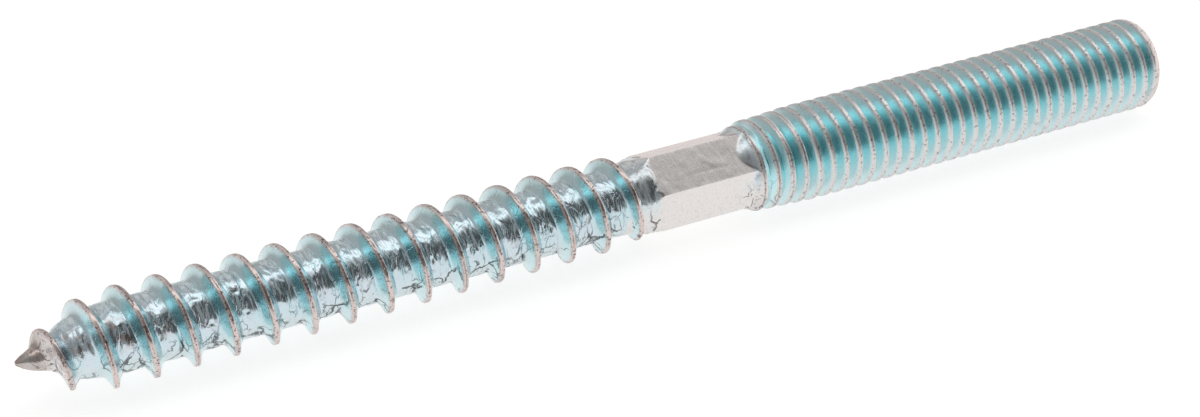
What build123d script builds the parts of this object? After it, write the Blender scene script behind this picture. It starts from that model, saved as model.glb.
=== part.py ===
from build123d import *
import os
from math import cos, pi, radians, sin, tan

# Hanger bolt M8 x 100: one cold-formed, zinc-plated steel piece with a coarse
# wood-screw thread, a gimlet point, a hexagonal drive section and a machine stud.
# Millimetres. X runs along the axis towards the machine end, Z is up, and the
# origin is on the axis where the hexagon starts.

# Lengths along the axis
wood_length = 50.5        # point to hexagon
hex_length = 7.25         # hexagon to the foot of the shoulder cone
stud_length = 40.85       # foot of the shoulder cone to the machine end

# Wood-screw thread
wood_core_radius = 2.72
wood_crest_radius = 3.66
wood_pitch = 3.02
wood_crest_width = 0.35
wood_flank_angle = 24.0   # between a flank and the plane across the axis
wood_foot_height = 0.45   # of the hollow that the roll leaves at a flank's foot
wood_foot_angle = 38.0    # between that hollow and the plane across the axis
wood_thread_phase = -0.70  # x where the crest, carried on, passes the +Y side
wood_runout_length = 3.4  # stretch before the hexagon over which the crest sinks
wood_runout_radius = 3.0  # crest radius at the end of that stretch

# Gimlet point
tip_flat_radius = 0.15
tip_core_length = 7.0     # point to full core
tip_crest_length = 8.5    # point to full crest

# Neck and hexagonal drive section
neck_angle = 13.0         # between the neck cone and the axis
neck_radius = 3.15        # where the neck cone meets the bevel of the corners
neck_bevel_length = 0.6
hex_across_flats = 5.9
hex_corner_angle = 94.0   # of one corner, from +Y towards +Z

# Shoulder and machine stud, which is plain here: its M8 x 1.25 thread is fine
shoulder_angle = 18.5     # between the shoulder cone and the axis
blank_radius = 3.67       # of the round blank that the thread is rolled on
stud_radius = 3.93        # over the crests of the thread
stud_runin_length = 4.5   # the first turns, rolled less than full height
end_face_radius = 3.25
end_chamfer_length = 1.1

points_per_turn = 15      # of each helical edge
least_ridge = 0.1         # height that gives the flanks their width as a ridge fades

hex_corner_radius = hex_across_flats / 2 / cos(radians(30))
tip_x = -wood_length
shoulder_x = hex_length
shoulder_length = (blank_radius - hex_across_flats / 2) / tan(radians(shoulder_angle))
stud_x = shoulder_x + shoulder_length
end_x = shoulder_x + stud_length
clear_radius = wood_crest_radius + stud_radius  # beyond every surface of the bolt


def ramp(x, x0, y0, x1, y1):
    """Straight from y0 at x0 to y1 at x1, and level past both ends."""
    share = min(max((x - x0) / (x1 - x0), 0.0), 1.0)
    return y0 + (y1 - y0) * share


def helical_edge(place, turn):
    """One right-handed turn. place(turn) gives the x and the radius of a point."""
    def point(at):
        x, radius = place(at)
        return Vector(x, radius * cos(2 * pi * at), radius * sin(2 * pi * at))

    def velocity(at, step=1e-4):
        return (point(at + step) - point(at - step)) / (2 * step)

    turns = [turn + i / points_per_turn for i in range(points_per_turn + 1)]
    points = [point(at) for at in turns]
    ends = [velocity(turn), velocity(turn + 1)]
    return Edge.make_spline(points, tangents=ends, parameters=turns, scale=False)


def threaded_rod(rails, first, last):
    """A threaded rod, solid to its axis, from helical rails listed along one pitch.

    Ruled strips join each rail to the next, and the last rail to the first of the
    next turn. The rod's stepped ends are meant to be cut off.
    """
    edges = [helical_edge(rail, turn) for turn in range(first, last) for rail in rails]
    edges.append(helical_edge(rails[0], last))
    faces = [Face.make_surface_from_curves(a, b) for a, b in zip(edges, edges[1:])]
    step = len(rails)
    for end_edge, side, end in ((edges[0], edges[1:step], 0), (edges[-1], edges[-step:-1], 1)):
        axle = Edge.make_line(((end_edge @ 0).X, 0, 0), ((end_edge @ 1).X, 0, 0))
        rim = [end_edge @ 0] + [edge @ end for edge in side] + [end_edge @ 1]
        faces.append(Face.make_surface_from_curves(axle, end_edge))
        faces.append(Face(Wire.make_polygon(rim + [axle @ 1, axle @ 0], close=True)))
    return Solid(Shell(faces))


def turned(*points):
    """A solid turned about the axis, from the corners of its half section."""
    return Solid.revolve(Face(Wire.make_polygon(points, close=True)), 360, Axis.X)


def wood_core_at(x):
    """The core, drawn down to the point in a parabola."""
    left = ramp(x, tip_x, 1.0, tip_x + tip_core_length, 0.0)
    return tip_flat_radius + (wood_core_radius - tip_flat_radius) * (1 - left**2)


def wood_crest_at(x):
    """The crest climbs from the point in a cubic curve and sinks before the hexagon."""
    left = ramp(x, tip_x, 1.0, tip_x + tip_crest_length, 0.0)
    climb = wood_crest_radius * (1 - left**3)
    runout = ramp(x, -wood_runout_length, wood_crest_radius, 0.0, wood_runout_radius)
    return max(min(climb, runout), wood_core_at(x))


def wood_thread():
    """The coarse thread: a flat crest, two hollow flanks and a wide bare core each turn."""
    def rail(side, level):
        """level is 0 at the core, 1 at the top of the hollow and 2 at the crest."""
        def place(turn):
            middle = wood_thread_phase + wood_pitch * turn
            crest = wood_crest_at(middle)
            height = max(crest - wood_core_at(middle), least_ridge)
            foot_height = min(wood_foot_height, height / 2)
            crest_x = wood_crest_width / 2 * min(crest / wood_core_radius, 1.0)
            flank_x = crest_x + (height - foot_height) * tan(radians(wood_flank_angle))
            foot_x = flank_x + foot_height * tan(radians(wood_foot_angle))
            foot = wood_core_at(middle + side * foot_x)
            hollow = foot + (crest - foot) * foot_height / height
            x, radius = ((foot_x, foot), (flank_x, hollow), (crest_x, crest))[level]
            return middle + side * x, radius
        return place

    rails = [rail(-1, level) for level in (0, 1, 2)] + [rail(1, level) for level in (2, 1, 0)]
    first = int((tip_x - wood_thread_phase) / wood_pitch) - 2
    rod = threaded_rod(rails, first, 2)
    return rod & turned((tip_x, 0), (tip_x, clear_radius), (0, clear_radius), (0, 0))


def hexagon():
    """The drive section: a hexagonal prism, bevelled by the cone of the neck."""
    neck_length = neck_radius / tan(radians(neck_angle))
    section = Plane.YZ * Rot(0, 0, hex_corner_angle) * RegularPolygon(hex_corner_radius, 6)
    prism = Pos(-neck_length, 0, 0) * extrude(section, neck_length + stud_x)
    cone = turned(
        (-neck_bevel_length - neck_length, 0),
        (-neck_bevel_length, neck_radius),
        (0, hex_corner_radius),
        (0, clear_radius),
        (stud_x, clear_radius),
        (stud_x, 0),
    )
    return prism & cone


def shoulder():
    """The cone that widens from the flats to the round blank."""
    return turned((0, 0), (shoulder_x, hex_across_flats / 2), (stud_x, blank_radius), (stud_x, 0))


def machine_stud():
    """The stud over its crests, which rise from the blank, and its chamfered end."""
    return turned(
        (stud_x, 0),
        (stud_x, blank_radius),
        (stud_x + stud_runin_length, stud_radius),
        (end_x - end_chamfer_length, stud_radius),
        (end_x, end_face_radius),
        (end_x, 0),
    )


def hanger_bolt():
    return wood_thread() + hexagon() + shoulder() + machine_stud()


os.makedirs("parts", exist_ok=True)
export_step(hanger_bolt(), "parts/hanger_bolt.step")
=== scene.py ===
"""Hanger bolt: the looks of one zinc-plated steel piece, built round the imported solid.

The solid already has the coarse wood-screw thread, the hexagon and the stud. The
mesh made here keeps those forms and adds the fine machine thread, the seams on the
crests, the dents that thread rolling leaves, and the plating. Lengths are in
millimetres until the mesh is made, because that is how a screw is measured.
"""

from math import cos, pi, radians, sin, tan

import bmesh
import bpy
import numpy as np
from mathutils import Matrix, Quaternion, Vector, noise


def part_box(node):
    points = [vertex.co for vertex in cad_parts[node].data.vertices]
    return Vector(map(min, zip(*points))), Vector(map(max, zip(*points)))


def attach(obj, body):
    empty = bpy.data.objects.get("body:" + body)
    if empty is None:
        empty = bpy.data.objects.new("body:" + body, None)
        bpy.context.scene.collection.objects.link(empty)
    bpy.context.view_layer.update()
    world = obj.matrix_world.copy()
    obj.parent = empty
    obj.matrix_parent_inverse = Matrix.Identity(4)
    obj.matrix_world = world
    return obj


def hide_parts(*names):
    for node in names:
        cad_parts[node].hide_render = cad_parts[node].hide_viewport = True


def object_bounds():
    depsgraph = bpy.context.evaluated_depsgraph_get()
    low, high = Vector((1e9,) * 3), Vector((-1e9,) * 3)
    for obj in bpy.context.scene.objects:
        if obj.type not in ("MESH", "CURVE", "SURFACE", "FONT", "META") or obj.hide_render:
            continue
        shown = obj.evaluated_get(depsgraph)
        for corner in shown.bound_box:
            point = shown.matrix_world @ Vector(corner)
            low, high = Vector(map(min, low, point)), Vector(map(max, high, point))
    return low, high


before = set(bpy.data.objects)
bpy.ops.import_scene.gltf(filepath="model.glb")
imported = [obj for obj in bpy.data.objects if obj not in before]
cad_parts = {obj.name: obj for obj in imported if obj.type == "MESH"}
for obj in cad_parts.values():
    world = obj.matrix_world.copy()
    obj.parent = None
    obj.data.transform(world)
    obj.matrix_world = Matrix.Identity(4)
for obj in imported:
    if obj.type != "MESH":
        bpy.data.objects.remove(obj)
cad_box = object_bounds()
low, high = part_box("hanger_bolt")

MM = 0.001
tip_x = low.x / MM
end_x = high.x / MM
floor_z = cad_box[0][2]

# Wood-screw thread
wood_core_radius = 2.72
wood_crest_radius = 3.66
wood_pitch = 3.02
wood_crest_width = 0.35
wood_flank_angle = 24.0
wood_foot_height = 0.45
wood_foot_angle = 38.0
wood_thread_phase = -0.70
wood_runout_length = 3.4
wood_runout_radius = 3.0
least_ridge = 0.1
least_half_crest = 0.05

# Gimlet point
tip_flat_radius = 0.15
tip_core_length = 7.0
tip_crest_length = 8.5
tip_pinch_depth = 0.38    # by which the core is drawn in behind the point
tip_pinch_x = 2.2         # from the point to where it is drawn in most

# Neck and hexagon
neck_angle = 13.0
neck_radius = 3.15
neck_bevel_length = 0.6
neck_swell_radius = 2.93  # from which the neck swells, by the height below
neck_swell_height = 0.20
hex_across_flats = 5.9
hex_corner_angle = 94.0
hex_length = 7.25

# Shoulder and machine thread
shoulder_angle = 18.5
blank_radius = 3.67
stud_crest_radius = 3.93
stud_root_radius = 3.22
stud_pitch = 1.25
stud_thread_phase = 0.71
stud_runin_length = 4.5
stud_first_half = 0.22    # half the width of the first crest
stud_full_half = 0.175    # half the width of a full crest
end_face_radius = 3.25
end_chamfer_length = 1.1

# Depths of the marks of rolling and forging. Each is multiplied by noise of about
# -1 to 1, or by a share from 0 to 1.
wood_crest_waver = 0.022
stud_crest_waver = 0.012
seam_waver = 0.035        # along the bolt
wood_seam_depth = 0.07
wood_crest_rounding = 0.05
dent_depth = 0.034
fine_dent_depth = 0.017
lap_depth = 0.12
torn_end_depth = 0.11     # low down, where the wood thread runs out
crumple_depth = 0.09      # low down, either side of the hexagon
turned_line_depth = 0.020
flat_depth = 0.004        # of the unevenness of the flats
rolled_line_depth = 0.01
stud_crest_rounding = 0.035
stud_first_seam_depth = 0.09
stud_last_seam_depth = 0.012
stud_first_ridge = 0.10   # of the first crests above the shoulder

hex_corner_radius = hex_across_flats / 2 / cos(radians(30))
stud_x = hex_length + (blank_radius - hex_across_flats / 2) / tan(radians(shoulder_angle))
stud_start_x = stud_x - 1.3  # where the first crest shows on the shoulder

columns = 108             # round the bolt, a whole number to each of the hexagon's sides
angles = radians(hex_corner_angle) + 2 * pi * np.arange(columns) / columns
crest_noise_radius = 4.0  # of the cylinder on which the noise along a crest is taken
lap_noise_radius = 3.0

# Paint layers, each a share from 0 to 1 at every point of the mesh
#   core    how hammered the metal is        groove  teal plating, as in the grooves
#   worn    plating worn to silver           warm_and_shade  how pinkish that silver is, and painted shade, darker and pinker, on the top flat of the hexagon
#   speck   dark specks                      seam    dark seams and edges of the crests, and painted shade on one flat of the hexagon
#   lap     dark torn laps                   torn    where dark hairline cracks show
#   satin   how dull the metal is            brown   brownish bare steel
#   painted_light_tint  painted light and shade: how deep the teal is on each side, the same in all
#   three parts of the surface
surface_layers = ("core", "groove", "worn", "warm_and_shade", "speck", "seam", "lap", "torn", "satin", "brown")
layer_names = surface_layers + ("painted_light_tint",)


def ramp(x, x0, y0, x1, y1):
    """Straight from y0 at x0 to y1 at x1, and level past both ends."""
    return y0 + (y1 - y0) * np.clip((x - x0) / (x1 - x0), 0, 1)


def smooth(x, x0, x1):
    """From 0 at x0 to 1 at x1 with an eased start and end."""
    t = np.clip((x - x0) / (x1 - x0), 0, 1)
    return t * t * (3 - 2 * t)


def plateau(x, x0, x1, x2, x3):
    """Eased from 0 at x0 to 1 at x1, and from 1 at x2 back to 0 at x3."""
    return smooth(x, x0, x1) * (1 - smooth(x, x2, x3))


def hump(x, centre, width):
    """A bell: 1 at the centre and 0.37 one width away from it."""
    return np.exp(-(((x - centre) / width) ** 2))


def in_degrees(angle):
    """The angle round the bolt from 0 to 360, where 0 is +Y and 90 is up."""
    return np.mod(np.degrees(angle), 360)


def rough(x, angle, radius, size, stretch=1.0, seed=0.0):
    """Noise from about -1 to 1 over the surface; stretch lengthens it round the bolt."""
    x, angle, radius = np.broadcast_arrays(x, angle, radius)
    values = np.empty(x.size)
    y = radius * np.cos(angle) / stretch
    z = radius * np.sin(angle) / stretch
    for i, (a, b, c) in enumerate(zip(x.flat, y.flat, z.flat)):
        values[i] = noise.noise(Vector((a / size + seed, b / size, c / size)))
    return values.reshape(x.shape)


def rough_line(middle, angle, size, seed):
    """Noise along a crest: the same all across it."""
    return rough(middle, angle, crest_noise_radius, size, seed=seed)


def crest_line(turn, angle, phase, pitch):
    """The x of a thread's crest, which climbs one pitch each time round the bolt."""
    return phase + pitch * (turn + angle / (2 * pi))


def nearest_crest(x, angle, phase, pitch):
    """The x of the crest that is nearest to x at the same angle."""
    turn = np.round((x - phase) / pitch - angle / (2 * pi))
    return crest_line(turn, angle, phase, pitch)


# Zones round the bolt

def low_side(angle):
    """1 on the side that lies low and towards -Y, where the metal is torn and pale."""
    return plateau(in_degrees(angle), 158, 195, 250, 285)


def facing_camera(angle):
    """1 on the upper -Y side, where pits with bare steel lie behind the point."""
    return plateau(in_degrees(angle), 105, 125, 155, 175)


def painted_light_tint_at(angle):
    """Painted light and shade: how deep the teal is, most on the -Y side, and pale on the sides that
    catch brighter light.
    """
    degrees = in_degrees(angle)
    return 0.1 + 0.9 * smooth(degrees, 82, 124) * (1 - smooth(degrees, 152, 205))


def swell_at(angle):
    """1 in the middle of where the neck swells, over the flat that faces up and to -Y."""
    return hump(in_degrees(angle), 118, 42)


# The wood-screw thread

def wood_core_at(x):
    left = ramp(x, tip_x, 1.0, tip_x + tip_core_length, 0.0)
    pinch = tip_pinch_depth * hump(x - tip_x, tip_pinch_x, 0.9)
    return tip_flat_radius + (wood_core_radius - tip_flat_radius) * (1 - left**2) - pinch


def wood_crest_at(x):
    left = ramp(x, tip_x, 1.0, tip_x + tip_crest_length, 0.0)
    climb = wood_crest_radius * (1 - left**3)
    runout = ramp(x, -wood_runout_length, wood_crest_radius, 0.0, wood_runout_radius)
    return np.maximum(np.minimum(climb, runout), wood_core_at(x))


def wood_ridge(middle):
    """Crest radius, height, foot height, and half widths at the crest, flank and foot."""
    crest = wood_crest_at(middle)
    height = np.maximum(crest - wood_core_at(middle), least_ridge)
    foot_height = np.minimum(wood_foot_height, height / 2)
    crest_x = wood_crest_width / 2 * np.minimum(crest / wood_core_radius, 1.0)
    flank_x = crest_x + (height - foot_height) * tan(radians(wood_flank_angle))
    foot_x = flank_x + foot_height * tan(radians(wood_foot_angle))
    return crest, height, foot_height, crest_x, flank_x, foot_x


def wood_laps(x, angle, middle, foot_x, side):
    """Torn laps: one a turn, low down, at the foot of the flank that faces the point."""
    bend = rough(x, angle, lap_noise_radius, 0.45, seed=40)
    where = 222 + 14 * np.sin(1.9 * np.round(middle / wood_pitch))
    along = (x - (middle - foot_x - 0.10)) / 0.15 + 2.4 * bend
    around = (in_degrees(angle) - where) / 19.0
    lap = np.exp(-along**2 - around**2) * (side < 0) * (x > tip_x + 6) * (x < -2)
    return lap * smooth(bend, -0.9, 0.1)


def wood_surface(x, angle):
    """Radius and paint layers on the coarse thread."""
    middle = nearest_crest(x, angle, wood_thread_phase, wood_pitch)
    away = np.abs(x - middle)
    side = np.sign(x - middle)
    crest, height, foot_height, crest_x, flank_x, foot_x = wood_ridge(middle)
    half_crest = np.maximum(crest_x, least_half_crest)
    full = smooth(height, 0.1, 0.5)

    # The form: the crest wavers a little, and there is none on the very point
    crest = crest + full * (wood_crest_waver * rough_line(middle, angle, 1.7, 5) - 0.01)
    sunk = 1 - smooth(middle, tip_x + 0.5, tip_x + 2.0)
    crest = crest - (crest - wood_core_at(middle)) * sunk
    foot = wood_core_at(middle + side * foot_x)
    hollow = foot + (crest - foot) * foot_height / height
    up_foot = np.clip((foot_x - away) / (foot_x - flank_x), 0, 1)
    up_flank = np.clip((flank_x - away) / (flank_x - crest_x), 0, 1)
    radius = np.where(away > foot_x, wood_core_at(x), foot + (hollow - foot) * up_foot**1.4)
    radius = np.where(away < flank_x, hollow + (crest - hollow) * up_flank, radius)
    bare = smooth(away, foot_x - 0.05, foot_x + 0.25) * smooth(x, tip_x + 1.5, tip_x + 4.0)
    on_crest = 1 - smooth(away, crest_x * 0.95, crest_x * 1.3)

    # Seam where the rolled metal met at the crest, open in places and closed in others
    wander = seam_waver * rough_line(middle, angle, 1.3, 21)
    open_seam = smooth(rough_line(middle, angle, 1.1, 33), -0.25, 0.35)
    seam = open_seam * hump(x - middle, wander, 0.32 * half_crest) * full
    rounded = np.clip(away / half_crest, 0, 1) ** 2
    radius = radius - wood_seam_depth * seam - wood_crest_rounding * full * rounded

    # Hammered core, in patches drawn out round the bolt
    dents = dent_depth * rough(x, angle, radius, 0.62, stretch=2.2, seed=3)
    dents = dents + fine_dent_depth * rough(x, angle, radius, 0.27, stretch=2.6, seed=9)
    radius = radius + dents * (0.12 + 0.88 * bare)

    # Torn metal, low on each turn and low down where the thread runs out
    lap = wood_laps(x, angle, middle, foot_x, side)
    radius = radius - lap_depth * lap
    torn_end = hump(x, -2.3, 1.2) * low_side(angle)
    radius = radius + torn_end_depth * (rough(x, angle, radius, 0.5, seed=44) - 0.2) * torn_end
    gaps = smooth(rough(x, angle, radius, 0.33, seed=81), 0.15, 0.5)
    torn = (1 - on_crest) * (0.12 + 0.88 * low_side(angle))

    # Dark edges on the crests, and behind the point bare pits and a bare first flank
    edge = 0.5 * full * hump(away, crest_x, 0.035)
    edge = edge * smooth(rough(x, angle, radius, 0.8, seed=66), -0.4, 0.3)
    pits = smooth(rough(x, angle, radius, 0.55, seed=15), 0.0, 0.3) * bare
    pits = pits * (1 - smooth(x, tip_x + 8, tip_x + 13))
    first_flank = (side < 0) * (1 - smooth(middle, tip_x + 3.8, tip_x + 4.8)) * full
    bare_point = 1 - smooth(x, tip_x + 1.2, tip_x + 2.6)

    # Deepest teal on the flanks, fading down their feet and out on the core
    groove = np.where(away > flank_x, 0.15 + 0.85 * up_foot**1.5, 1.0 - 0.2 * up_flank)
    groove = np.where(away > foot_x, 0.15 * np.exp(-(away - foot_x) / 0.12), groove)
    layers = {
        "core": bare,
        "groove": groove * full * smooth(x, tip_x + 2.5, tip_x + 6.5),
        "worn": np.maximum(on_crest * full, 0.65 * first_flank),
        "warm_and_shade": np.maximum(on_crest, 0.6 * first_flank),
        "speck": np.maximum(on_crest * full, 0.7 * first_flank),
        "seam": np.clip(seam + edge, 0, 1),
        "lap": np.maximum(lap, 0.7 * torn_end * gaps),
        "torn": np.maximum(torn, torn_end),
        "satin": 0.45 * on_crest,
        "brown": np.maximum(bare_point, 0.75 * pits * facing_camera(angle)),
    }
    return radius, layers


def wood_rows():
    """Rows of points that follow the thread, and how many of them make one turn.

    A row holds the x of one point on each column, once round the bolt.
    """
    turns = range(int((tip_x - wood_thread_phase) / wood_pitch) - 3, 3)
    rows = []
    for turn in turns:
        middle = crest_line(turn, angles, wood_thread_phase, wood_pitch)
        foot_x_before = wood_ridge(middle - wood_pitch)[5]
        crest_x, flank_x, foot_x = wood_ridge(middle)[3:]
        foot = foot_x - flank_x
        flank = flank_x - crest_x
        start = middle - wood_pitch + foot_x_before
        stop = middle - foot_x
        rows += [start + (stop - start) * share for share in np.linspace(0, 1, 9)[1:-1]]
        rows += [middle - foot_x + foot * share for share in (0, 0.35, 0.7)]
        rows += [middle - flank_x + flank * share for share in (0, 0.5)]
        rows += [middle + crest_x * share for share in (-1, -0.75, -0.3, 0, 0.3, 0.75, 1)]
        rows += [middle + flank_x - flank * share for share in (0.5, 0)]
        rows += [middle + foot_x - foot * share for share in (0.7, 0.35, 0)]
    return rows, len(rows) // len(turns)


# The neck, hexagon and shoulder

def hexagon_radius(angle):
    side = np.mod(angle - radians(hex_corner_angle), pi / 3) - pi / 6
    return hex_across_flats / 2 / np.cos(side)


def shoulder_cone(x):
    return hex_across_flats / 2 + (x - hex_length) * tan(radians(shoulder_angle))


def middle_radius(x, angle):
    """The neck, the flats and the shoulder."""
    neck = neck_radius + (x + neck_bevel_length) * tan(radians(neck_angle))
    bevel = ramp(x, -neck_bevel_length, neck_radius, 0.0, hex_corner_radius)
    clear = np.where(x > 0, 9.0, 0.0)  # past the bevel the cone cuts nothing
    cone = np.where(x < -neck_bevel_length, neck, bevel) + clear

    # The neck swells over the flat that faces up and to -Y, and ends in a round shoulder
    swell_end = -0.25
    rounding = np.sqrt(np.clip(1 - ramp(x, -0.75, 0.0, swell_end, 1.0) ** 2, 0, 1))
    dome = neck_swell_radius + neck_swell_height * swell_at(angle) * rounding
    hexagon = hexagon_radius(angle)
    flats = np.where(x < swell_end, np.maximum(hexagon, dome), hexagon)
    shoulder = np.minimum(shoulder_cone(x), blank_radius)
    return np.maximum(np.minimum(flats, cone), shoulder)


def middle_surface(x, angle):
    """Radius and paint layers on the neck, the hexagon and the shoulder."""
    radius = middle_radius(x, angle)
    degrees = in_degrees(angle)
    low_down = low_side(angle)
    neck = 1 - smooth(x, -0.55, -0.1)
    cone = smooth(radius - hexagon_radius(angle), 0.0, 0.05) * (x > hex_length)

    # Lines turned on the neck, crumpled metal either side, and a line rolled on one flat
    turned_lines = turned_line_depth * rough(x, angle, radius, 0.17, stretch=12.0, seed=50) * neck
    crumple = low_down * (hump(x, -0.9, 0.8) + 1.2 * hump(x, 7.9, 0.7))
    dents = crumple_depth * (rough(x, angle, radius, 0.42, seed=60) - 0.1) * crumple
    flat = flat_depth * rough(x, angle, radius, 0.9, seed=70)
    rolled_line = hump(degrees - 137, -0.6 * x, 1.2) * smooth(x, 0.5, 1.5)
    rolled_line = rolled_line * (1 - smooth(x, 4, 7))

    flat_degrees = 60
    painted_shade_top_flat = (degrees > hex_corner_angle - flat_degrees) & (degrees < hex_corner_angle)
    painted_shade_front_flat = (degrees > hex_corner_angle) * (degrees < hex_corner_angle + flat_degrees)
    neck_worn = 1 - (0.6 - 0.45 * low_down) * neck
    cone_worn = 1 - (0.6 - 0.55 * low_down) * cone
    torn_patches = smooth(rough(x, angle, radius, 0.35, seed=80), 0.2, 0.55)
    layers = {
        "core": 0.5 * neck + 0.12 * cone,
        "groove": 0.3 * neck * (1 - swell_at(angle)) * (1 - low_down),
        "worn": neck_worn * cone_worn,
        # Painted shade: the top flat, which faces up and away from the camera, is darker and pinker
        # than the other flats
        "warm_and_shade": np.where(painted_shade_top_flat, 1.0, 0.15),
        "speck": np.full_like(radius, 0.12),
        # Painted shade: the flat that faces up and towards the camera is darkened, on top of the dark
        # line rolled on it
        "seam": 0.35 * rolled_line + 0.3 * painted_shade_front_flat,
        "lap": crumple * torn_patches * 0.6,
        "torn": np.clip(crumple, 0, 1),
        "satin": np.zeros_like(radius),
        "brown": np.zeros_like(radius),
    }
    return radius + turned_lines + dents + flat - rolled_line_depth * rolled_line, layers


def middle_rows(start):
    """Rows straight round the bolt, closest on the shoulder, and 0 as none makes a turn."""
    cone_x = hex_length - 0.15
    xs = list(np.linspace(start, 0.0, 7))
    xs += list(np.linspace(0.0, cone_x, 12)[1:])
    xs += list(np.linspace(cone_x, stud_x, 36)[1:])
    return [np.full(columns, x) for x in xs], 0


# The machine thread

def stud_surface(x, angle):
    """Radius and paint layers on the machine thread."""
    middle = nearest_crest(x, angle, stud_thread_phase, stud_pitch)
    away = np.abs(x - middle)
    full_x = stud_x + stud_runin_length
    blank = ramp(middle, stud_start_x, hex_corner_radius + 0.02, stud_x - 0.2, blank_radius)
    crest = blank + ramp(middle, stud_x, 0, full_x, stud_crest_radius - blank_radius)
    crest = crest - 0.008 + stud_crest_waver * rough_line(middle, angle, 1.1, 90)
    unthreaded = smooth(x, end_x - 1.15, end_x - 0.6)
    full_depth = stud_crest_radius - stud_root_radius
    depth = ramp(middle, stud_start_x, 0.03, stud_x + 3.2, full_depth) * (1 - unthreaded)
    half = ramp(middle, stud_start_x, stud_first_half, stud_x + 6.0, stud_full_half)
    deep = np.clip((away - half) / (stud_pitch / 2 - half), 0, 1)
    radius = crest - depth * (1 - (1 - deep) ** 1.3)
    rounded = np.clip(away / half, 0, 1) ** 2
    radius = radius - stud_crest_rounding * rounded * np.clip(depth / 0.3, 0, 1)

    # The seam is open on the first turns and nearly closed on the full ones
    seam_depth = ramp(middle, stud_start_x, stud_first_seam_depth, stud_x + 7.0, stud_last_seam_depth)
    seam = hump(away, 0, 0.3 * half) * (1 - unthreaded)
    radius = radius - seam_depth * seam
    line = 1 - smooth(away, half * 0.8, half * 1.45)
    worn = line * smooth(x, stud_start_x, stud_start_x + 0.5)
    groove = (1 - line) * np.clip(depth / 0.12, 0, 1)

    # The first turns stand proud of the shoulder before they are deep enough to cut it
    shoulder = np.maximum(hexagon_radius(angle), shoulder_cone(x))
    early = plateau(middle, stud_start_x, stud_start_x + 0.4, stud_x, stud_x + 1.2)
    ridge = stud_first_ridge * early * hump(away, 0, 0.8 * half) * (1 - 0.8 * seam)
    uncut = smooth(radius - shoulder, 0.0, 0.04) * (x < stud_x + 1)
    radius = np.minimum(radius, shoulder) + ridge
    groove = groove * (1 - uncut)
    worn = np.maximum(worn, 0.95 * uncut * low_side(angle))

    # The chamfer, rounded as a quarter of an ellipse
    rounding = np.sqrt(1 - ramp(x, end_x - end_chamfer_length, 0, end_x, 1) ** 2)
    chamfer = end_face_radius + (stud_crest_radius - end_face_radius) * rounding
    cut = np.maximum(smooth(radius - chamfer, -0.03, 0.05), unthreaded)
    radius = np.minimum(radius, chamfer)
    layers = {
        "core": np.zeros_like(radius),
        "groove": groove * (1 - cut),
        "worn": np.maximum(worn, cut),
        "warm_and_shade": np.maximum(0.25, 0.8 * cut),
        "speck": 0.8 * np.maximum(worn, cut),
        "seam": seam * np.clip(seam_depth / stud_first_seam_depth, 0, 1) * (1 - cut),
        "lap": np.zeros_like(radius),
        "torn": hump(x - stud_x, -0.6, 1.3) * low_side(angle),
        "satin": 0.6 + 0.4 * worn,
        "brown": np.zeros_like(radius),
    }
    return radius, layers


def stud_rows():
    """Rows of points that follow the thread, and how many of them make one turn."""
    shares = (-0.49, -0.36, -0.25, -0.16, -0.105, 0.0, 0.105, 0.16, 0.25, 0.36, 0.49)
    first = int((stud_x - stud_thread_phase) / stud_pitch) - 2
    last = int((end_x - stud_thread_phase) / stud_pitch) + 3
    rows = []
    for turn in range(first, last):
        middle = crest_line(turn, angles, stud_thread_phase, stud_pitch)
        rows += [middle + stud_pitch * share for share in shares]
    return rows, len(shares)


# The mesh

def bolt_surface(x, angle):
    """Radius and paint layers anywhere on the bolt."""
    x, angle = np.broadcast_arrays(x, angle)
    wood, wood_layers = wood_surface(x, angle)
    stud, stud_layers = stud_surface(x, angle)
    middle, middle_layers = middle_surface(x, angle)
    on_wood = (x < 0) & (wood > middle)
    on_stud = x > stud_start_x
    radius = np.where(on_stud, stud, np.where(on_wood, wood, middle))
    layers = {}
    for name in surface_layers:
        layer = np.where(on_stud, stud_layers[name], middle_layers[name])
        layers[name] = np.where(on_wood, wood_layers[name], layer)
    # Painted light and shade: deeper teal on the -Y side, paler on the other sides
    layers["painted_light_tint"] = painted_light_tint_at(angle)
    return radius, layers


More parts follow.
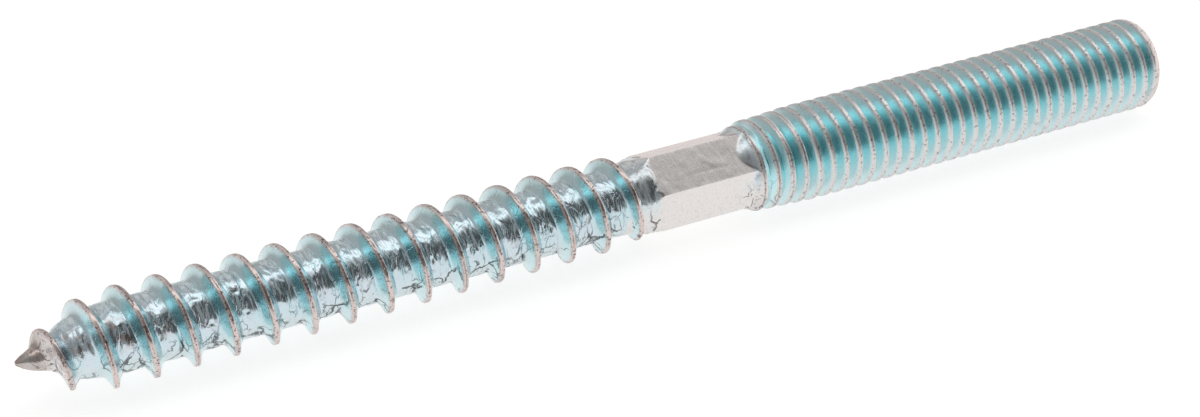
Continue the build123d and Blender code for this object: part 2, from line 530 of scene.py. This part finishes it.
class Skin:
    """The points, faces and paint of the bolt's one mesh while it is put together."""

    def __init__(self):
        self.points = []
        self.faces = []
        self.paint = {name: [] for name in layer_names}

    def ring(self, x, radius):
        """One point on each column. Returns the number of the first of them."""
        first = len(self.points)
        for j in range(columns):
            self.points.append((x[j], radius[j] * cos(angles[j]), radius[j] * sin(angles[j])))
        return first

    def fill(self, full):
        """Paint for the points that have none yet: 1 in the layers named, 0 in the rest."""
        for name, values in self.paint.items():
            values += [1.0 if name in full else 0.0] * (len(self.points) - len(values))

    def sheet(self, rows, per_turn, start, stop):
        """Rows from start to stop, with faces between them. Returns its first point.

        Once round the bolt, a row goes on as the one that is per_turn rows further.
        A row that would leave the sheet is held at its border instead.
        """
        x = np.clip(np.array(rows), start, stop)
        radius, layers = bolt_surface(x, angles[None, :])
        first = len(self.points)
        for row_x, row_radius in zip(x, radius):
            self.ring(row_x, row_radius)
        for name in layer_names:
            self.paint[name] += list(layers[name].flat)
        count = len(rows)
        for k in range(count - 1):
            for j in range(columns):
                here = first + k * columns + j
                beside = here + 1
                if j + 1 == columns:
                    beside = first + (k + per_turn) * columns
                    if k + 1 + per_turn >= count:
                        continue
                self.faces.append((here, beside, beside + columns, here + columns))
        return first

    def close_point(self, ring):
        """A fan over the ring at the gimlet point, bare and brownish."""
        self.points.append((tip_x, 0, 0))
        self.fill(("worn", "brown"))
        centre = len(self.points) - 1
        for j in range(columns):
            self.faces.append((centre, ring + (j + 1) % columns, ring + j))

    def close_end(self):
        """The flat end face, in rings that grow smaller, bare like the cut chamfer."""
        for share in (1.0, 0.85, 0.5, 0.15):
            ring = self.ring(np.full(columns, end_x), np.full(columns, end_face_radius * share))
            if share < 1:
                for j in range(columns):
                    k = (j + 1) % columns
                    outside = ring - columns
                    self.faces.append((outside + j, outside + k, ring + k, ring + j))
        self.points.append((end_x, 0, 0))
        self.fill(("worn",))
        centre = len(self.points) - 1
        for j in range(columns):
            self.faces.append((ring + j, ring + (j + 1) % columns, centre))

    def mesh(self):
        """The mesh, with points that fall together merged and its paint as attributes."""
        mesh = bpy.data.meshes.new("hanger_bolt_skin")
        mesh.from_pydata([tuple(MM * v for v in point) for point in self.points], [], self.faces)
        for name, values in self.paint.items():
            attribute = mesh.attributes.new(name, "FLOAT", "POINT")
            attribute.data.foreach_set("value", np.array(values, np.float32))
        work = bmesh.new()
        work.from_mesh(mesh)
        bmesh.ops.remove_doubles(work, verts=work.verts, dist=1e-8)
        bmesh.ops.recalc_face_normals(work, faces=work.faces)
        work.to_mesh(mesh)
        work.free()
        mesh.shade_smooth()
        mesh.set_sharp_from_angle(angle=radians(35))
        return mesh


def build_bolt():
    """One closed mesh whose rows follow the threads."""
    neck_end = -neck_bevel_length
    skin = Skin()
    point_ring = skin.sheet(*wood_rows(), tip_x, neck_end)
    skin.close_point(point_ring)
    skin.sheet(*middle_rows(neck_end), neck_end, stud_x)
    skin.sheet(*stud_rows(), stud_x, end_x)
    skin.close_end()
    bolt = bpy.data.objects.new("bolt", skin.mesh())
    bpy.context.scene.collection.objects.link(bolt)
    return bolt


bolt = build_bolt()
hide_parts("hanger_bolt")
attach(bolt, "root")


# Materials

CORE_COLOUR = (0.60, 0.74, 0.785, 1)
CORE_COLOUR_LILAC = (0.65, 0.73, 0.785, 1)
# Painted light: a paler copy of the core colour, for the more brightly lit sides
CORE_COLOUR_PAINTED_LIT = (0.69, 0.765, 0.785, 1)
GROOVE_COLOUR = (0.45, 0.82, 0.87, 1)
# Painted light: a paler copy of the teal, for the more brightly lit sides
GROOVE_COLOUR_PAINTED_LIT = (0.67, 0.83, 0.85, 1)
CREST_COLOUR = (0.79, 0.77, 0.755, 1)
CREST_COLOUR_WARM_AND_SHADE = (0.74, 0.62, 0.585, 1)
TIP_COLOUR = (0.50, 0.40, 0.36, 1)
DARK_COLOUR = (0.06, 0.05, 0.06, 1)
WHITE = (1, 1, 1, 1)
FLOOR_GREY = (0.4, 0.4, 0.4, 1)


class Shader:
    """Short calls for the nodes of one material or world. A value may be a socket."""

    def __init__(self, owner):
        owner.use_nodes = True
        self.nodes = owner.node_tree.nodes
        self.links = owner.node_tree.links

    def put(self, value, socket):
        if isinstance(value, bpy.types.NodeSocket):
            self.links.new(value, socket)
        else:
            socket.default_value = value

    def math(self, operation, a, b):
        node = self.nodes.new("ShaderNodeMath")
        node.operation = operation
        self.put(a, node.inputs[0])
        self.put(b, node.inputs[1])
        return node.outputs[0]

    def times(self, a, *others):
        for other in others:
            a = self.math("MULTIPLY", a, other)
        return a

    def mix(self, share, a, b):
        node = self.nodes.new("ShaderNodeMix")
        node.data_type = "RGBA"
        self.put(share, node.inputs["Factor"])
        self.put(a, node.inputs["A"])
        self.put(b, node.inputs["B"])
        return node.outputs["Result"]

    def step(self, value, start, stop, low=0.0, high=1.0, eased=True):
        """From low where the value is start to high where it is stop."""
        node = self.nodes.new("ShaderNodeMapRange")
        node.interpolation_type = "SMOOTHSTEP" if eased else "LINEAR"
        self.put(value, node.inputs["Value"])
        self.put(start, node.inputs["From Min"])
        self.put(stop, node.inputs["From Max"])
        self.put(low, node.inputs["To Min"])
        self.put(high, node.inputs["To Max"])
        return node.outputs["Result"]

    def attribute(self, name):
        node = self.nodes.new("ShaderNodeAttribute")
        node.attribute_name = name
        return node.outputs["Fac"]

    def axes(self, kind):
        """X, Y and Z of the texture coordinate of that kind."""
        place = self.nodes.new("ShaderNodeTexCoord")
        axis = self.nodes.new("ShaderNodeSeparateXYZ")
        self.links.new(place.outputs[kind], axis.inputs[0])
        return axis.outputs

    def place(self, along=1.0, round_the_bolt=1.0, shift=0.0):
        """The point in millimetres. Patterns grow longer in a direction whose share is low."""
        point = self.nodes.new("ShaderNodeTexCoord")
        mapping = self.nodes.new("ShaderNodeMapping")
        scale = (along / MM, round_the_bolt / MM, round_the_bolt / MM)
        mapping.inputs["Scale"].default_value = scale
        mapping.inputs["Location"].default_value = (shift, shift, shift)
        self.links.new(point.outputs["Object"], mapping.inputs["Vector"])
        return mapping.outputs["Vector"]

    def noise(self, place, scale, detail=3.0, roughness=0.5, distortion=0.0, colour=False):
        node = self.nodes.new("ShaderNodeTexNoise")
        self.links.new(place, node.inputs["Vector"])
        node.inputs["Scale"].default_value = scale
        node.inputs["Detail"].default_value = detail
        node.inputs["Roughness"].default_value = roughness
        node.inputs["Distortion"].default_value = distortion
        return node.outputs["Color" if colour else "Fac"]

    def bump(self, height, distance, before=None):
        """Relief that adds to the one before. The distance is in millimetres."""
        node = self.nodes.new("ShaderNodeBump")
        node.inputs["Distance"].default_value = distance * MM
        self.links.new(height, node.inputs["Height"])
        if before is not None:
            self.links.new(before, node.inputs["Normal"])
        return node.outputs["Normal"]


def cracks(shader, place, scale, width, amount):
    """Broken hairlines: the borders of warped cells, kept only in patches."""
    warp = shader.nodes.new("ShaderNodeVectorMath")
    warp.operation = "MULTIPLY_ADD"
    shader.links.new(shader.noise(place, 1.6, colour=True), warp.inputs[0])
    warp.inputs[1].default_value = (0.9, 0.9, 0.9)
    shader.links.new(place, warp.inputs[2])
    cells = shader.nodes.new("ShaderNodeTexVoronoi")
    cells.feature = "DISTANCE_TO_EDGE"
    cells.inputs["Scale"].default_value = scale
    shader.links.new(warp.outputs["Vector"], cells.inputs["Vector"])
    line = shader.step(cells.outputs["Distance"], width, 0.0)
    patch = shader.step(shader.noise(place, 0.7, 2.0), 0.62 - amount, 0.70 - amount)
    return shader.times(line, patch)


def zinc_material():
    """Bright blue passivated zinc: teal in the grooves, worn to pinkish silver on the crests."""
    material = bpy.data.materials.new("zinc_plated_steel")
    shader = Shader(material)
    surface = shader.nodes["Principled BSDF"]
    paint = {name: shader.attribute(name) for name in layer_names}

    # Patterns
    mottle = shader.noise(shader.place(1.0, 0.5, 3.0), 1.3, 1.6, 0.45, 0.5)
    streak = shader.noise(shader.place(1.0, 0.22, 13.0), 3.4, 1.5, 0.45, 0.3)
    grain = shader.noise(shader.place(), 9.0, 4.0, 0.6)
    blotch = shader.noise(shader.place(1.0, 0.6, 11.0), 0.9)
    speck = shader.step(shader.noise(shader.place(1.0, 1.0, 5.0), 4.5, 2.0), 0.57, 0.65)
    fine_crack = shader.times(cracks(shader, shader.place(0.8, 0.6, 7.0), 1.3, 0.05, 0.14), 0.7)
    wide_crack = cracks(shader, shader.place(0.7, 0.5, 17.0), 0.62, 0.045, 0.16)
    crack = shader.times(shader.math("MAXIMUM", fine_crack, wide_crack), paint["torn"])

    # Colour of the plating, then of the worn and the bare metal
    deep = shader.mix(shader.step(blotch, 0.35, 0.65), CORE_COLOUR, CORE_COLOUR_LILAC)
    # Painted light and shade: the paler copies are used on the brightly lit sides, and the deep
    # colours on the -Y side
    plain = shader.mix(shader.step(paint["painted_light_tint"], -0.15, 0.6), CORE_COLOUR_PAINTED_LIT, deep)
    teal = shader.mix(paint["painted_light_tint"], GROOVE_COLOUR_PAINTED_LIT, GROOVE_COLOUR)
    # Pinkish silver on the crests, and on the top flat of the hexagon painted shade
    silver = shader.mix(paint["warm_and_shade"], CREST_COLOUR, CREST_COLOUR_WARM_AND_SHADE)
    brown = shader.times(paint["brown"], shader.step(blotch, 0.2, 0.6, 0.6, 1.0))
    colour = shader.mix(paint["groove"], plain, teal)
    colour = shader.mix(paint["worn"], colour, silver)
    colour = shader.mix(brown, colour, TIP_COLOUR)

    # Dark specks, seams, cracks and laps on top, and painted shade on the front flat of the hexagon
    specks = shader.times(speck, shader.times(paint["speck"], 0.75))
    seams = shader.times(paint["seam"], shader.step(grain, 0.35, 0.6, 0.15, 0.75))
    laps = shader.step(paint["lap"], 0.25, 0.75, 0.0, 0.9)
    for dark in (specks, seams, shader.times(crack, 0.9), laps):
        colour = shader.mix(dark, colour, DARK_COLOUR)
    shader.put(colour, surface.inputs["Base Color"])

    surface.inputs["Metallic"].default_value = 1.0
    roughness = shader.step(grain, 0.3, 0.7, 0.17, 0.30)
    roughness = shader.math("ADD", roughness, shader.times(paint["satin"], 0.15))
    shader.put(roughness, surface.inputs["Roughness"])

    # Relief too fine for the mesh
    hit = shader.math("ADD", shader.times(paint["core"], 0.92), 0.08)
    dented = shader.times(shader.math("SUBTRACT", mottle, 0.5), hit)
    streaked = shader.times(shader.math("SUBTRACT", streak, 0.5), hit)
    normal = shader.bump(dented, 0.34)
    normal = shader.bump(streaked, 0.09, normal)
    normal = shader.bump(grain, 0.003, normal)
    normal = shader.bump(shader.times(crack, -1.0), 0.08, normal)
    shader.put(normal, surface.inputs["Normal"])
    return material


bolt.data.materials.append(zinc_material())


# Floor, light and camera

floor_reach = 1.5         # metres from its middle to each side
floor_glow = 0.8          # of the floor itself, as the camera and the metal see it


def add_floor():
    """A pale floor. The metal sees it grow darker away from the camera."""
    reach = floor_reach
    corners = [(-reach, -reach, 0), (reach, -reach, 0), (reach, reach, 0), (-reach, reach, 0)]
    mesh = bpy.data.meshes.new("floor")
    mesh.from_pydata(corners, [], [(0, 1, 2, 3)])
    plane = bpy.data.objects.new("floor", mesh)
    plane.location.z = floor_z
    bpy.context.scene.collection.objects.link(plane)

    material = bpy.data.materials.new("floor")
    shader = Shader(material)
    surface = shader.nodes["Principled BSDF"]
    surface.inputs["Base Color"].default_value = FLOOR_GREY
    surface.inputs["Roughness"].default_value = 0.9
    surface.inputs["Specular IOR Level"].default_value = 0.0
    ray = shader.nodes.new("ShaderNodeLightPath")
    shade = shader.step(shader.axes("Object")["Y"], 0.005, 0.06, 1.0, 0.62, eased=False)
    mirrored = shader.times(ray.outputs["Is Glossy Ray"], shade)
    seen = shader.math("MAXIMUM", ray.outputs["Is Camera Ray"], mirrored)
    surface.inputs["Emission Color"].default_value = WHITE
    shader.put(shader.times(seen, floor_glow), surface.inputs["Emission Strength"])
    plane.data.materials.append(material)


def add_world():
    """A room at a plain level, which the camera sees as white, and lights in it."""
    world = bpy.data.worlds.new("studio")
    bpy.context.scene.world = world
    shader = Shader(world)
    step, times = shader.step, shader.times
    background = shader.nodes["Background"]
    background.inputs["Color"].default_value = WHITE
    x, y, z = shader.axes("Generated")

    # A long softbox overhead, a window at the machine end, and a light patch behind
    softbox = times(step(y, -0.24, -0.02), step(y, 0.46, 0.14))
    softbox = times(softbox, step(x, -0.55, -0.22), step(z, 0.35, 0.6, 0.0, 0.95))
    window = times(step(x, 0.50, 0.74), step(z, 0.50, 0.12, 0.0, 0.9))
    behind = times(step(x, -0.50, -0.20), step(x, 0.34, 0.12))
    behind = times(behind, times(step(z, 0.12, 0.30), step(y, 0.48, 0.72, 0.0, 0.28)))

    # Towards the camera it is dark, and less so at both ends
    unlit = times(step(y, -0.22, -0.50), step(z, -0.02, 0.10))
    across = times(step(x, -0.1, 0.28, 0.45, 1.0), step(x, 0.9, 0.6, 0.4, 1.0))
    unlit = times(unlit, across)
    room = times(step(unlit, 0.0, 1.0, 1.0, 0.15), step(y, 0.3, 0.8, 0.48, 0.44))
    lit = shader.math("ADD", room, softbox)
    lit = shader.math("ADD", lit, shader.math("ADD", window, behind))
    ray = shader.nodes.new("ShaderNodeLightPath")
    lit = shader.math("MAXIMUM", lit, ray.outputs["Is Camera Ray"])
    shader.put(lit, background.inputs["Strength"])


def add_camera():
    """The view of the photo, in which the point comes nearest on the left."""
    data = bpy.data.cameras.new("camera")
    data.lens = 74.7
    data.sensor_width = 36.0
    data.clip_start = 0.01
    camera = bpy.data.objects.new("camera", data)
    camera.location = Vector((-82.96, -143.32, 102.61)) * MM
    forward = Vector((0.4083, 0.7416, -0.5322))
    roll = Quaternion((0, 0, 1), radians(1.2))
    camera.rotation_euler = (forward.to_track_quat("-Z", "Y") @ roll).to_euler()
    bpy.context.scene.collection.objects.link(camera)
    bpy.context.scene.camera = camera


add_floor()
add_world()
add_camera()

bpy.context.scene.view_settings.view_transform = "Standard"
